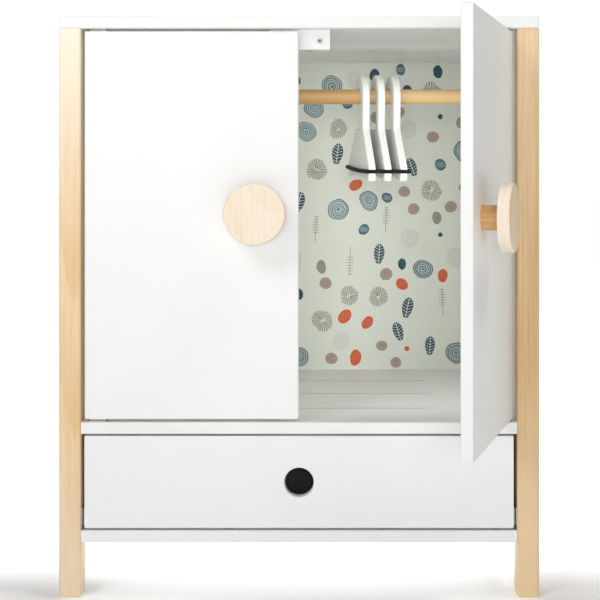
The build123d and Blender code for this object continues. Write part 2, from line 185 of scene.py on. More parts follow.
# ------------------------------------------------------------------ materials
# Colours, before their patterns
PAINT = (0.900, 0.905, 0.902)
HANGER_PAINT = (0.885, 0.905, 0.885)
PAINT_SPECK = (0.62, 0.61, 0.58)
PAINT_RUBBED = (0.74, 0.72, 0.68)
# colour of the painted shade along the lines cut in the shelf's top
SCORE_SHADE = (0.30, 0.30, 0.27)
SHELF_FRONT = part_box("middle_shelf")[0][1]
SHELF_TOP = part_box("middle_shelf")[1][2]
SCORED = [SHELF_FRONT + depth * MM for depth in (68.0, 148.0, 230.0)]   # places of the shelf's lines
SCORE_HALF = 128.5 * MM     # half a line's length
SCORE_DEPTH = 1.7 * MM      # how far below the shelf's top the painted shade reaches
SCORE_SHADE_START, SCORE_SHADE_FULL = 2.2 * MM, 0.7 * MM   # where the painted shade starts and is full, from the line's middle


def white_paint(name, tint=PAINT, turn=0.0, shift=(0, 0, 0), edges=True, scored=()):
    """Satin sprayed paint: faint mottling, a fine orange peel and slightly rubbed edges.

    scored lists the places along Y of lines cut in the top, along which a soft dark line of painted shade is
    laid.
    """
    s = Shader(name)
    where = s.place(turn, shift)
    cloud = s.noise(where, 7.0, 3.0)
    colour = s.tinge([v * 0.986 for v in tint], cloud, 0.35, 0.65, 1.0, tint)
    specks = s.remap(s.noise(where, 420.0, 2.0, 0.7), 0.74, 0.80)
    colour = s.blend(s.math("MULTIPLY", specks, 0.10), colour, PAINT_SPECK)
    if edges:
        rubbed = s.math("MULTIPLY", s.edges(turn), s.remap(s.noise(where, 60.0, 4.0, 0.65), 0.45, 0.75))
        colour = s.blend(s.math("MULTIPLY", rubbed, 0.35), colour, PAINT_RUBBED)
    if scored:
        # painted shade: a soft dark line along each cut line on the shelf's top, broken up by noise
        across, along, up = s.split(s.place())
        score_shade = s.remap(s.noise(s.place(stretch=(0.2, 1, 1)), 60.0, 3.0), 0.3, 0.6, 0.35, 0.85)
        lined = s.math("MULTIPLY", score_shade, s.math("LESS_THAN", s.math("ABSOLUTE", across), SCORE_HALF))
        lined = s.math("MULTIPLY", lined, s.math("GREATER_THAN", up, SHELF_TOP - SCORE_DEPTH))
        for line in scored:
            away = s.math("ABSOLUTE", s.math("SUBTRACT", along, line))
            near = s.math("MULTIPLY", lined, s.remap(away, SCORE_SHADE_START, SCORE_SHADE_FULL, smooth=True))
            colour = s.blend(near, colour, SCORE_SHADE)
    peel = s.noise(where, 900.0, 2.0, 0.5)
    waves = s.noise(where, 110.0, 2.0, 0.5)
    height = s.math("ADD", s.math("MULTIPLY", peel, 0.35), waves)
    gloss = s.remap(s.noise(where, 35.0, 3.0), 0.3, 0.7, 0.40, 0.50)
    return s.set(Base_Color=colour, Roughness=gloss, Specular_IOR_Level=0.42,
                 Normal=s.bump(height, 0.22, 0.3 * MM))


# What places along the grain are multiplied by, which draws a pattern out along it
SLOW, SHORT, HAIR, FINE = 0.10, 0.09, 0.03, 0.016
REDDER = (1.0, 0.8, 0.9)    # what makes the dark wood redder in its short dashes
POST_RINGS, DISC_RINGS, STEM_RINGS, DOWEL_RINGS = 3.2 * MM, 2.3 * MM, 1.9 * MM, 1.1 * MM   # between rings


def wood(name, pale, dark, grain="Z", turn=0.0, pith=(0, 0, 0), lean=(0.0, 0.0), pitch=POST_RINGS,
         contrast=1.0, gloss=0.50, fades=(), face=None, streaks=1.0):
    """Lacquered softwood: growth rings round a leaning pith, fine fibres, streaks and slow drifts of colour.

    pale and dark are the early and the late wood. pith is a point of the tree's centre line, lean how far
    that line leans from the grain, and pitch the distance between rings. contrast is the strength of all
    markings, and streaks of those along the grain. fades lists slow changes along the grain as (start, end,
    amount, colour); the rail's one is painted light and shade. face is painted shade: a darker, warmer tint
    multiplied into the turned front.
    """
    s = Shader(name)
    axis = "XYZ".index(grain)
    sides = [i for i in range(3) if i != axis]
    shift = [-v for v in pith]

    def grained(drawn_out, scale, detail, roughness=0.5):
        stretch = [1.0] * 3
        stretch[axis] = drawn_out
        return s.noise(s.place(turn, shift, stretch), scale, detail, roughness)

    parts = s.split(s.place(turn, shift))
    wander = [s.remap(grained(SLOW, scale, 3.0, 0.55), 0.0, 1.0, -size, size)
              for scale, size in ((21.0, 4.0 * MM), (33.0, 2.4 * MM))]
    squares = []
    for side, tilt, stray in zip(sides, lean, wander):
        away = s.math("ADD", s.math("MULTIPLY_ADD", parts[axis], tilt, parts[side]), stray)
        squares.append(s.math("POWER", away, 2.0))
    radius = s.math("SQRT", s.math("ADD", *squares))
    pace = s.noise_along(radius, 160.0, 1.0)
    years = s.math("ADD", s.math("DIVIDE", radius, pitch), s.math("MULTIPLY", pace, 1.6))
    ring = s.math("FRACT", years)
    late = s.math("MULTIPLY", s.remap(ring, 0.25, 0.86, smooth=True), s.remap(ring, 1.0, 0.90, smooth=True))
    weight = s.noise_along(s.math("FLOOR", years), 0.73, 0.0)
    drift = grained(SLOW, 13.0, 2.0)
    flush = grained(SLOW, 24.0, 2.0)
    dash = grained(SHORT, 620.0, 2.0, 0.6)
    streak = grained(HAIR, 330.0, 2.0)
    belt = grained(FINE, 210.0, 2.0)
    fibre = grained(FINE, 900.0, 3.0, 0.6)

    strength = s.math("MULTIPLY", s.remap(weight, 0.3, 0.7, 0.25, 1.0), s.remap(drift, 0.3, 0.7, 0.30, 1.0))
    colour = s.blend(s.math("MULTIPLY", s.math("MULTIPLY", late, strength), 0.85 * contrast), pale, dark)
    lengthwise = contrast * streaks
    for mask, low, high, amount, tint in (
            (streak, 0.45, 0.70, 0.42 * lengthwise, dark),
            (belt, 0.50, 0.68, 0.34 * lengthwise, dark),
            (belt, 0.46, 0.32, 0.22 * lengthwise, [v ** 0.8 for v in pale]),
            (fibre, 0.45, 0.75, 0.30 * contrast, [v * 0.78 for v in dark]),
            (dash, 0.58, 0.70, 0.38 * lengthwise, [v * w for v, w in zip(dark, REDDER)]),
            (drift, 0.30, 0.75, 0.30, [v ** 1.35 for v in pale]),
            (flush, 0.52, 0.72, 0.40 * contrast, [v ** 1.7 for v in pale]),
            (flush, 0.46, 0.30, 0.40 * contrast, [v ** 0.55 for v in pale])):
        colour = s.tinge(colour, mask, low, high, amount, tint)
    # fades: slow changes of colour along the grain; the rail's one is painted light and shade
    for start, end, amount, tint in fades:
        along = s.math("ADD", parts[axis], s.math("MULTIPLY", drift, 0.1 * abs(end - start)))
        colour = s.tinge(colour, along, start, end, amount, tint, smooth=True)
    # face: painted shade, a darker and warmer tint multiplied into the front that looks outward
    if face:
        outward = s.remap(s.normal(turn)[1], -0.6, -0.95)
        colour = s.blend(outward, colour, s.blend(1.0, colour, face, "MULTIPLY"))

    relief = s.math("ADD", s.math("MULTIPLY", late, 0.5), s.math("MULTIPLY", fibre, 0.8))
    rough = s.remap(fibre, 0.3, 0.7, gloss - 0.06, gloss + 0.08)
    return s.set(Base_Color=colour, Roughness=rough, Specular_IOR_Level=0.4, Coat_Weight=0.12,
                 Coat_Roughness=0.35, Normal=s.bump(relief, 0.20, 0.2 * MM))


CROSS_LINES, LEVEL_LINES = (1, 30, 1), (1, 1, 30)


def metal(name, tint, gloss, brushed):
    """Plated metal with fine drawn lines, as dense on each axis as brushed says, and a few dull spots."""
    s = Shader(name)
    lines = s.noise(s.place(stretch=brushed), 260.0, 3.0, 0.6)
    spots = s.noise(s.place(), 350.0, 2.0, 0.6)
    colour = s.tinge(tint, spots, 0.55, 0.75, 0.5, [v * 0.62 for v in tint])
    rough = s.remap(lines, 0.3, 0.7, gloss - 0.07, gloss + 0.12)
    return s.set(Base_Color=colour, Metallic=1.0, Roughness=rough, Normal=s.bump(lines, 0.25, 0.1 * MM))


MAGNET_CUP = (0.42, 0.415, 0.40)
# painted shade that darkens each magnet's middle
MAGNET_SHADE = (0.085, 0.083, 0.080)
MAGNET_SCUFF = (0.26, 0.25, 0.235)
CUP_INSIDE, SHADE_RIM = 0.62, 0.50    # where the painted shade fades out and where it is full, as shares of the magnet's radius


def magnet(name, middle, reach, height, radius):
    """Two round magnets, reach either side of middle: bright steel, darkened by painted shade in its middle,
    with scuffs.
    """
    s = Shader(name)
    across, _, up = s.split(s.place())
    x = s.math("SUBTRACT", s.math("ABSOLUTE", s.math("SUBTRACT", across, middle)), reach)
    z = s.math("SUBTRACT", up, height)
    away = s.math("SQRT", s.math("ADD", s.math("POWER", x, 2.0), s.math("POWER", z, 2.0)))
    # painted shade: each magnet's middle is darkened, fading out towards the cup
    shade_mask = s.remap(away, CUP_INSIDE * radius, SHADE_RIM * radius, smooth=True)
    scuffs = s.noise(s.place(), 900.0, 4.0, 0.7)
    colour = s.tinge(s.blend(shade_mask, MAGNET_CUP, MAGNET_SHADE), scuffs, 0.5, 0.75, 0.5, MAGNET_SCUFF)
    rough = s.remap(scuffs, 0.3, 0.7, 0.30, 0.46)
    return s.set(Base_Color=colour, Metallic=0.85, Roughness=rough, Normal=s.bump(scuffs, 0.3, 0.1 * MM))


ELASTIC_DARK = (0.003, 0.003, 0.003)
ELASTIC_PALE = (0.014, 0.013, 0.014)
ELASTIC_FUZZ = (0.05, 0.05, 0.053)
THREAD = 1.1 * MM    # from one thread of the braid to the next


def elastic():
    """Black braided elastic: two crossing sets of threads, with a little fuzz."""
    s = Shader("black_elastic")
    across, along, up = s.split(s.place())
    steps = 2 * pi / THREAD
    threads = []
    for slant in (1.0, -1.0):
        run = s.math("ADD", along, s.math("MULTIPLY", s.math("ADD", across, up), slant))
        threads.append(s.math("SINE", s.math("MULTIPLY", run, steps)))
    braid = s.math("MAXIMUM", *threads)
    fuzz = s.noise(s.place(), 2600.0, 2.0, 0.6)
    colour = s.tinge(ELASTIC_DARK, braid, -0.2, 1.0, 1.0, ELASTIC_PALE)
    colour = s.tinge(colour, fuzz, 0.60, 0.75, 0.25, ELASTIC_FUZZ)
    height = s.math("ADD", braid, s.math("MULTIPLY", fuzz, 0.6))
    return s.set(Base_Color=colour, Roughness=0.90, Specular_IOR_Level=0.2, Sheen_Weight=0.08,
                 Sheen_Roughness=0.5, Normal=s.bump(height, 0.6, 0.4 * MM))


PAPER_TONES = (0.815, 0.845, 0.775), (0.85, 0.875, 0.815)
PAPER_TOOTH = (0.66, 0.68, 0.65)
PAPER_UNDER_INK = (0.79, 0.81, 0.78)
BOARD_CHIPS = (0.30, (0.20, 0.115, 0.058)), (0.55, (0.31, 0.19, 0.105)), (0.75, (0.40, 0.27, 0.16))


def printed_board():
    """Hardboard with printed paper on the face that looks into the wardrobe."""
    s = Shader("printed_board")
    where = s.place()
    paper_side = s.math("LESS_THAN", s.normal()[1], -0.5)    # the face that looks forwards
    paper = s.blend(s.noise(where, 9.0, 3.0), *PAPER_TONES)
    tooth = s.noise(where, 1500.0, 3.0, 0.6)
    paper = s.tinge(paper, tooth, 0.5, 0.8, 0.12, PAPER_TOOTH)
    chips = s.noise(s.place(stretch=(1, 1, 0.6)), 240.0, 5.0, 0.7)
    board = s.ramp(chips, *BOARD_CHIPS)
    colour = s.blend(paper_side, board, paper)
    height = s.math("ADD", s.math("MULTIPLY", tooth, 0.5), chips)
    return s.set(Base_Color=colour, Roughness=0.62, Normal=s.bump(height, 0.15, 0.2 * MM))


def ink(name, tint):
    """Printed ink with the dry, slightly uneven cover of a stamped motif."""
    s = Shader(name)
    dry = s.noise(s.place(stretch=(1, 1, 0.5)), 620.0, 4.0, 0.75)
    cloud = s.noise(s.place(), 60.0, 3.0)
    colour = s.tinge(tint, dry, 0.50, 0.72, 0.24, PAPER_UNDER_INK)
    colour = s.tinge(colour, cloud, 0.3, 0.7, 0.25, [v * 0.78 for v in tint])
    return s.set(Base_Color=colour, Roughness=0.66)


# Each post's pith from the post's middle, how the pith leans, its pale and dark wood, and its fades
POSTS = {
    "post_front_left": (
        (0.004, 0.028), (0.012, 0.034), (0.865, 0.655, 0.40), (0.76, 0.465, 0.205),
        [(0.30, 0.58, 1.0, (0.945, 0.865, 0.715)), (0.17, 0.02, 0.7, (0.89, 0.745, 0.545))]),
    "post_front_right": (
        (-0.030, 0.018), (0.010, -0.006), (0.795, 0.575, 0.32), (0.625, 0.375, 0.165),
        [(0.30, 0.55, 0.5, (0.85, 0.665, 0.425)), (0.25, 0.06, 0.9, (0.865, 0.65, 0.39))]),
    "post_rear_left": ((0.024, -0.020), (-0.016, 0.012), (0.83, 0.62, 0.36), (0.69, 0.43, 0.19), ()),
    "post_rear_right": ((-0.006, -0.034), (0.008, -0.030), (0.82, 0.60, 0.34), (0.68, 0.42, 0.18), ()),
}
# The same for the other wooden pieces: their pale and dark wood, pith and lean
RAIL_WOOD = (0.63, 0.407, 0.188), (0.49, 0.265, 0.10)
RAIL_PITH, RAIL_LEAN = (0.021, 0.014), (0.03, -0.02)
# painted light and shade along the rail: paler towards the right end, where light falls, and darker at the
# left end, shaded by the door
RAIL_LIGHT_FADE = (0.02, 0.13, 0.9, (0.845, 0.576, 0.287))
STEM_WOOD = (0.76, 0.48, 0.22), (0.53, 0.29, 0.105)
STEM_PITH, STEM_LEAN = (0.004, 0.013), (0.05, 0.02)
DOWEL_WOOD = (0.62, 0.42, 0.24), (0.48, 0.30, 0.15)
DISC_LEAN = (0.02, 0.05)
LEFT_DISC_WOOD = (0.90, 0.79, 0.635), (0.79, 0.65, 0.48)
LEFT_DISC_PITH = (0.012, 0.16)
RIGHT_DISC_WOOD = (0.90, 0.79, 0.635), (0.72, 0.57, 0.42)
RIGHT_DISC_PITH = (0.012, 0.090)
# painted shade on the right knob's front face: the darker, warmer tone it shows in shade
RIGHT_DISC_FACE_SHADE = (0.925, 0.815, 0.62)


def wood_for(node, middle, turn):
    """The material of a wooden node, or None. middle is the node's middle with its door turned shut."""
    x, y, z = middle
    if node in POSTS:
        (aside, behind), lean, pale, dark, fades = POSTS[node]
        return wood(node, pale, dark, pith=(x + aside, y + behind, 0.0), lean=lean, fades=fades, streaks=1.3)
    if node == "clothes_rail":
        return wood(node, *RAIL_WOOD, "X", pith=(0.0, y + RAIL_PITH[0], z + RAIL_PITH[1]), lean=RAIL_LEAN,
                    streaks=1.6, fades=[RAIL_LIGHT_FADE])
    if node.endswith("knob_stem"):
        return wood(node, *STEM_WOOD, "Y", turn, (x + STEM_PITH[0], 0.0, z + STEM_PITH[1]), lean=STEM_LEAN,
                    pitch=STEM_RINGS)
    if node == "top_dowels":
        return wood(node, *DOWEL_WOOD, pitch=DOWEL_RINGS)
    if node == "left_knob_disc":
        return wood(node, *LEFT_DISC_WOOD, "Z", turn, (x + LEFT_DISC_PITH[0], y + LEFT_DISC_PITH[1], z),
                    lean=DISC_LEAN, pitch=DISC_RINGS, contrast=0.6, gloss=0.46)
    if node == "right_knob_disc":
        return wood(node, *RIGHT_DISC_WOOD, "Z", turn, (x + RIGHT_DISC_PITH[0], y + RIGHT_DISC_PITH[1], z),
                    lean=DISC_LEAN, pitch=DISC_RINGS, contrast=0.75, gloss=0.46, face=RIGHT_DISC_FACE_SHADE)
    return None


def finish_for(node):
    """The material of one CAD node. Pieces of the right door have their patterns turned with it."""
    turn = DOOR_OPEN if node.startswith("right_") and "frame_leaf" not in node else 0.0
    low, high = (Vector(corner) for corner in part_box(node))
    middle = Matrix.Rotation(radians(-turn), 3, "Z") @ ((low + high) / 2)
    made = wood_for(node, middle, turn)
    if made:
        return made
    if node == "back_panel":
        return printed_board()
    if node.endswith("_cord"):
        return elastic_cord
    if node == "door_magnets":
        radius = (high.z - low.z) / 2
        return magnet(node, (low.x + high.x) / 2, (high.x - low.x) / 2 - radius, (low.z + high.z) / 2, radius)
    if node == "flap_magnet":
        return nickel
    if any(word in node for word in ("leaf", "screw", "rivet", "strike")):
        return zinc
    shift = [round(v * 7.3 + 0.11, 3) for v in low]   # gives each piece a patch of the pattern of its own
    if node.startswith("hanger_"):
        return white_paint(node, HANGER_PAINT, shift=shift, edges=False)
    return white_paint(node, turn=turn, shift=shift, scored=SCORED if node == "middle_shelf" else ())


NICKEL = (0.52, 0.51, 0.49)
ZINC = (0.44, 0.42, 0.39)
elastic_cord = elastic()
nickel = metal("nickel", NICKEL, 0.26, CROSS_LINES)
zinc = metal("zinc", ZINC, 0.30, LEVEL_LINES)
for name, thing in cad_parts.items():
    thing.data.materials.clear()
    thing.data.materials.append(finish_for(name))


# ------------------------------------------------------------------ elastic cords round the hangers
HANGER_YAW = radians(9.5)     # how the hangers stand on the rail
HANGER_TILT = radians(3.2)
CORD_R = 2.0 * MM
CORD_SIDE = 5.5 * MM      # from the hanger's middle plane to the cord's centre line
CORD_HALF = 57.8 * MM     # from the middle to the centre line round an arm's end
CORD_BEND = 3.2 * MM      # radius of the loop's corners
CORD_SAG = 0.9 * MM       # at the middle of its long sides
CORD_STEP = 0.4 * MM      # between the mesh's rings
CORD_FACETS = 20          # round the cord
CORD_STRANDS = 7
CORD_RELIEF = 0.16 * MM   # height of the strands
CORD_PITCH = 2.6 * MM     # along the cord, for the strands' pattern to come round again
STRAND_MEAN = 0.75        # the part of their height that lies at the cord's radius


def loop_points():
    """The cord's centre line round one hanger, as (across, along, up) with the corners rounded."""
    straight, short = CORD_HALF - CORD_BEND, CORD_SIDE - CORD_BEND
    corners = ((1, 1, 0.0), (-1, 1, pi / 2), (-1, -1, pi), (1, -1, 1.5 * pi))
    outline = []
    for x_side, y_side, start in corners:
        steps = int(CORD_BEND * pi / 2 / CORD_STEP) + 1
        for i in range(steps + 1):
            t = start + pi / 2 * i / steps
            x, y = x_side * short + CORD_BEND * cos(t), y_side * straight + CORD_BEND * sin(t)
            outline.append(Vector((x, y)))
    points = []
    for a, b in zip(outline, outline[1:] + outline[:1]):
        count = max(1, round((b - a).length / CORD_STEP))
        for i in range(count):
            spot = a.lerp(b, i / count)
            inside = max(0.0, 1 - (spot.y / straight) ** 2)
            points.append(Vector((spot.x, spot.y, -CORD_SAG * inside)))
    return points


def braided_cord(node):
    """A tube along the loop whose surface carries the relief of two crossing sets of strands."""
    low, high = (Vector(corner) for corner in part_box(node))
    middle = (low + high) / 2
    turn = Matrix.Rotation(HANGER_YAW, 3, "Z") @ Matrix.Rotation(HANGER_TILT, 3, "X")
    line = loop_points()
    work = bmesh.new()
    rings = []
    run = 0.0
    for i, point in enumerate(line):
        ahead = line[(i + 1) % len(line)]
        tangent = (ahead - line[i - 1]).normalized()
        across = tangent.cross(Vector((0, 0, 1))).normalized()
        up = across.cross(tangent)
        ring = []
        phase = 2 * pi * run / CORD_PITCH / 2
        for j in range(CORD_FACETS):
            t = 2 * pi * j / CORD_FACETS
            strand = max(sin(CORD_STRANDS * t / 2 + phase) ** 2, sin(CORD_STRANDS * t / 2 - phase) ** 2)
            r = CORD_R + CORD_RELIEF * (strand - STRAND_MEAN)
            spot = point + across * (r * cos(t)) + up * (r * sin(t))
            ring.append(work.verts.new(turn @ spot + middle))
        rings.append(ring)
        run += (ahead - point).length
    for first, second in zip(rings, rings[1:] + rings[:1]):
        for j in range(CORD_FACETS):
            k = (j + 1) % CORD_FACETS
            work.faces.new((first[j], first[k], second[k], second[j]))
    bmesh.ops.recalc_face_normals(work, faces=work.faces)
    mesh = bpy.data.meshes.new(f"braided_{node}")
    work.to_mesh(mesh)
    work.free()
    mesh.shade_smooth()
    mesh.materials.append(elastic_cord)
    made = bpy.data.objects.new(mesh.name, mesh)
    bpy.context.collection.objects.link(made)
    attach(made, node.removesuffix("_cord"))
    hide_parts(node)


for number in (1, 2, 3):
    braided_cord(f"hanger_{number}_cord")


# ------------------------------------------------------------------ printed motifs on the back panel
PRINT_PROUD = 0.10 * MM     # how far the lowest ink stands out of the paper
PRINT_LAYER = 0.5           # and what each layer adds, as a share of that
PRINT_SUNK = 0.03 * MM
PAPER_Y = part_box("back_panel")[0][1]
ROOM_LOW = SHELF_TOP
ROOM_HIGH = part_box("top_panel")[0][2]
ROOM_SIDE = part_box("side_panel_right")[0][0]


class Print:
    """The shapes printed in one ink, as one mesh of very thin closed slabs on the panel's face."""

    def __init__(self, layer):
        self.points, self.faces = [], []
        self.front = PAPER_Y - PRINT_PROUD * (1 + PRINT_LAYER * layer)
        self.back = PAPER_Y + PRINT_SUNK

    def shape(self, outline):
        """A filled shape from points (x, z), listed anticlockwise as seen from the front."""
        first, count = len(self.points), len(outline)
        self.points += [(x, self.front, z) for x, z in outline] + [(x, self.back, z) for x, z in outline]
        self.faces.append([first + i for i in range(count)])
        self.faces.append([first + count + i for i in reversed(range(count))])
        for i in range(count):
            j = (i + 1) % count
            self.faces.append([first + j, first + i, first + count + i, first + count + j])

    def band(self, inner, outer):
        """A closed stroke between two outlines with the same number of points."""
        first, count = len(self.points), len(inner)
        for ring, y in ((inner, self.front), (outer, self.front), (outer, self.back), (inner, self.back)):
            self.points += [(x, y, z) for x, z in ring]
        for i in range(count):
            j = (i + 1) % count
            for side in range(4):
                a, b = first + side * count, first + (side + 1) % 4 * count
                self.faces.append([a + i, b + i, b + j, a + j])

    def stroke(self, start, end, width, end_width=None):
        """A straight stroke with square ends, of one width unless end_width is given."""
        end_width = width if end_width is None else end_width
        run = Vector((end[0] - start[0], end[1] - start[1]))
        across = Vector((-run.y, run.x)).normalized()
        a, b = Vector(start), Vector(end)
        corners = [a - across * width / 2, b - across * end_width / 2, b + across * end_width / 2,
                   a + across * width / 2]
        self.shape([tuple(corner) for corner in corners])

    def piece(self, name, material):
        """Makes the mesh, which rides with the carcass."""
        mesh = bpy.data.meshes.new(name)
        mesh.from_pydata(self.points, [], self.faces)
        mesh.materials.append(material)
        made = bpy.data.objects.new(name, mesh)
        bpy.context.collection.objects.link(made)
        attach(made, "carcass")


def turned(at, x, z, turn):
    """The point (x, z), turned and moved to at."""
    return (at[0] + x * cos(turn) - z * sin(turn), at[1] + x * sin(turn) + z * cos(turn))


def swell(waves, t):
    """How far a wobbly outline is out at the angle t, where 1 is its mean."""
    return 1 + sum(size * sin(lobes * t + phase) for lobes, size, phase in waves)


def ring_points(at, rx, rz, turn, waves, count=44):
    """A wobbly ellipse: waves is a list of (lobes, size, phase)."""
    points = []
    for i in range(count):
        t = 2 * pi * i / count
        r = swell(waves, t)
        points.append(turned(at, rx * r * cos(t), rz * r * sin(t), turn))
    return points


INKS = {   # each ink's colour, and its layer
    "wash": ((0.58, 0.69, 0.69), 0),
    "mist": ((0.58, 0.58, 0.53), 0),
    "slate": ((0.085, 0.170, 0.215), 1),
    "petrol": ((0.014, 0.075, 0.120), 1),
    "blue": ((0.060, 0.170, 0.240), 1),
    "mauve": ((0.46, 0.35, 0.315), 1),
    "taupe": ((0.36, 0.325, 0.285), 1),
    "orange": ((0.80, 0.115, 0.022), 1),
    "grey": ((0.27, 0.265, 0.245), 1),
    "plum": ((0.37, 0.27, 0.25), 2),
    "chalk": ((0.66, 0.74, 0.72), 2),
}
prints = {name: Print(layer) for name, (_, layer) in INKS.items()}
dice = random.Random(11)


def wobble(size):
    """Random waves for an outline that strays by about size."""
    return [(lobes, dice.uniform(0.3, 1.0) * size / lobes, dice.uniform(0, 2 * pi)) for lobes in (2, 3, 5)]


RINGS = 5
RING_SQUASH = 0.94       # a ring's height over its width
INNER_RING = 0.15        # the smallest ring's radius over the largest one's
RING_CROWDING = 0.92     # below 1, the rings lie closer together towards the rim
RING_STRAY = 0.025       # how far a ring may lie off the middle, over the radius
BOLD_RING, THIN_RING = 0.092, 0.05     # a line's width over the radius, with a wash under it and without


def tree_rings(at, r, stroke_ink, wash_ink=None):
    """Uneven rings, closer together towards the rim."""
    waves, turn = wobble(0.13), dice.uniform(0, pi)
    if wash_ink:
        prints[wash_ink].shape(ring_points(at, r, r * RING_SQUASH, turn, waves))
    width = (BOLD_RING if wash_ink else THIN_RING) * r
    for i in range(RINGS):
        outer = r * (INNER_RING + (1 - INNER_RING) * (i / (RINGS - 1)) ** RING_CROWDING)
        stray = [dice.uniform(-RING_STRAY, RING_STRAY) * r for _ in at]
        middle = (at[0] + stray[0], at[1] + stray[1])
        inner = outer - width * dice.uniform(0.75, 1.35)
        prints[stroke_ink].band(*(ring_points(middle, size, size * RING_SQUASH, turn, waves)
                                  for size in (inner, outer)))


RAYS = 24
RAY_STARTS = (0.10, 0.22, 0.34)    # over the radius
RAY_FOOT, RAY_TIP = 0.16, 0.56     # a ray's widths over the spacing of the tips


def burst(at, r, ink_name):
    """Tapered rays round an empty middle."""
    waves = wobble(0.20)
    for i in range(RAYS):
        t = 2 * pi * i / RAYS
        start = r * dice.choice(RAY_STARTS)
        rim = r * swell(waves, t) * dice.uniform(0.93, 1.0)
        spacing = 2 * pi * rim / RAYS
        prints[ink_name].stroke(turned(at, start, 0, t), turned(at, rim, 0, t),
                                spacing * RAY_FOOT, spacing * RAY_TIP)


BARBS = 7
LEAF_HALF = 0.26         # half a leaf's width over its length
RIB_HALF = 0.016         # half the unprinted midrib's width over the length
LEAF_MIDDLE = 0.54       # where the leaf's middle lies along it
BARB_SLANT = 0.13        # how far a barb climbs from the rib to the edge, over the length


def leaf_reach(share):
    """How far the leaf reaches to the side at a share of its length, over its greatest reach."""
    return max(0.16, sin(pi * min(1.0, share * 0.96 + 0.07)) ** 0.6)


def feather(at, length, turn, ink_name):
    """A leaf made of slanting barbs either side of a thin unprinted midrib."""
    half, rib = LEAF_HALF * length, RIB_HALF * length
    for side in (-1, 1):
        for i in range(BARBS):
            low, high = (i + 0.04) / BARBS, (i + 0.86) / BARBS
            points = []
            for x, share in ((rib, low), (half * leaf_reach(low), low), (half * leaf_reach(high), high),
                             (rib, high)):
                z = (share - LEAF_MIDDLE) * length + BARB_SLANT * length * (x - rib) / half
                points.append(turned(at, side * x, z, turn))
            prints[ink_name].shape(points if side > 0 else points[::-1])


TWIG_STROKES = 7
TWIG_START, TWIG_STEP = -0.14, 0.1             # the first pair's height and the steps, over the length
TWIG_REACH, TWIG_TAPER = 0.135, 0.012          # the longest pair's, and how much shorter the next ones are
TWIG_LONGEST = 2                               # which pair that is
TWIG_RISE = 0.7 * MM                           # of each stroke
TWIG_STEM, TWIG_LINE = 0.55 * MM, 0.50 * MM    # widths


def twig(at, length, turn, ink_name):
    """A thin stem with short opposite side strokes on its upper two thirds."""
    stem = [turned(at, 0, end * length / 2, turn) for end in (-1, 1)]
    prints[ink_name].stroke(*stem, TWIG_STEM)
    for i in range(TWIG_STROKES):
        z = length * (TWIG_START + TWIG_STEP * i)
        reach = length * (TWIG_REACH - TWIG_TAPER * abs(i - TWIG_LONGEST))
        for side in (-1, 1):
            prints[ink_name].stroke(turned(at, side * 0.28 * MM, z, turn),
                                    turned(at, side * reach, z + TWIG_RISE, turn), TWIG_LINE)


RIGHTWARD, LEFTWARD = (0.7, 0.28 * MM), (-0.9, 0.22 * MM)    # slant and width of a hatching stroke


def pebble(at, rx, rz, turn, ink_name, hatch_ink=None, hatches=()):
    """A rounded blot, with loose strokes over it if a second ink is named."""
    prints[ink_name].shape(ring_points(at, rx, rz, turn, wobble(0.12), 32))
    if not hatch_ink:
        return
    for i in (-2, -1, 0, 1, 2):
        x = at[0] + i * 0.30 * rx
        run = 0.55 * rz * (1 - 0.16 * abs(i))
        for slant, width in hatches:
            prints[hatch_ink].stroke((x - run * slant * 0.5, at[1] - run),
                                     (x + run * slant * 0.5, at[1] + run), width)


def dot(at, r, ink_name):
    """A disc with a small darker ring near its middle."""
    prints[ink_name].shape(ring_points(at, r, r * 0.96, 0.0, wobble(0.07), 32))
    waves = wobble(0.2)
    prints["plum"].band(*(ring_points(at, size, size, 0.0, waves, 20) for size in (r * 0.28, r * 0.40)))


# Each kind of motif, half its length in millimetres, and how many of it there are in a round
MOTIFS = (
    ("rings", 12.0, 7), ("burst", 11.5, 6), ("feather", 12.0, 7), ("twig", 15.0, 6), ("dot", 7.0, 8),
    ("orange", 7.5, 4), ("blue", 6.5, 3), ("pebble", 6.5, 3), ("mist", 10.5, 3), ("oval", 7.5, 2),
    ("small", 2.8, 2),
)
ROUNDS = 3
TRIES = 60          # random spots that are tried for one motif
GAP = 3.5 * MM      # least space between motifs


def draw(kind, at, r):
    """Prints one motif of half length r."""
    tilt = dice.uniform(-0.35, 0.35)
    if kind == "rings":
        tree_rings(at, r, "slate", "wash")
    elif kind == "mist":
        tree_rings(at, r, "mist")
    elif kind == "burst":
        burst(at, r, "taupe")
    elif kind == "feather":
        feather(at, 2 * r, tilt, "petrol")
    elif kind == "twig":
        twig(at, 2 * r, tilt * 0.3 + (pi if dice.random() < 0.4 else 0.0), "grey")
    elif kind == "dot":
        dot(at, r, "mauve")
    elif kind == "oval":
        pebble(at, r * 0.66, r, tilt * 0.3, "taupe")
    elif kind == "orange":
        pebble(at, r * 0.84, r * 1.1, tilt * 3, "orange", "plum", (RIGHTWARD,))
    elif kind == "small":
        pebble(at, r, r, tilt, dice.choice(("orange", "petrol")))
    elif kind == "pebble":
        pebble(at, r * 0.78, r * 1.1, tilt, "petrol")
    else:
        pebble(at, r * 0.9, r, tilt * 3, "blue", "chalk", (RIGHTWARD, LEFTWARD))


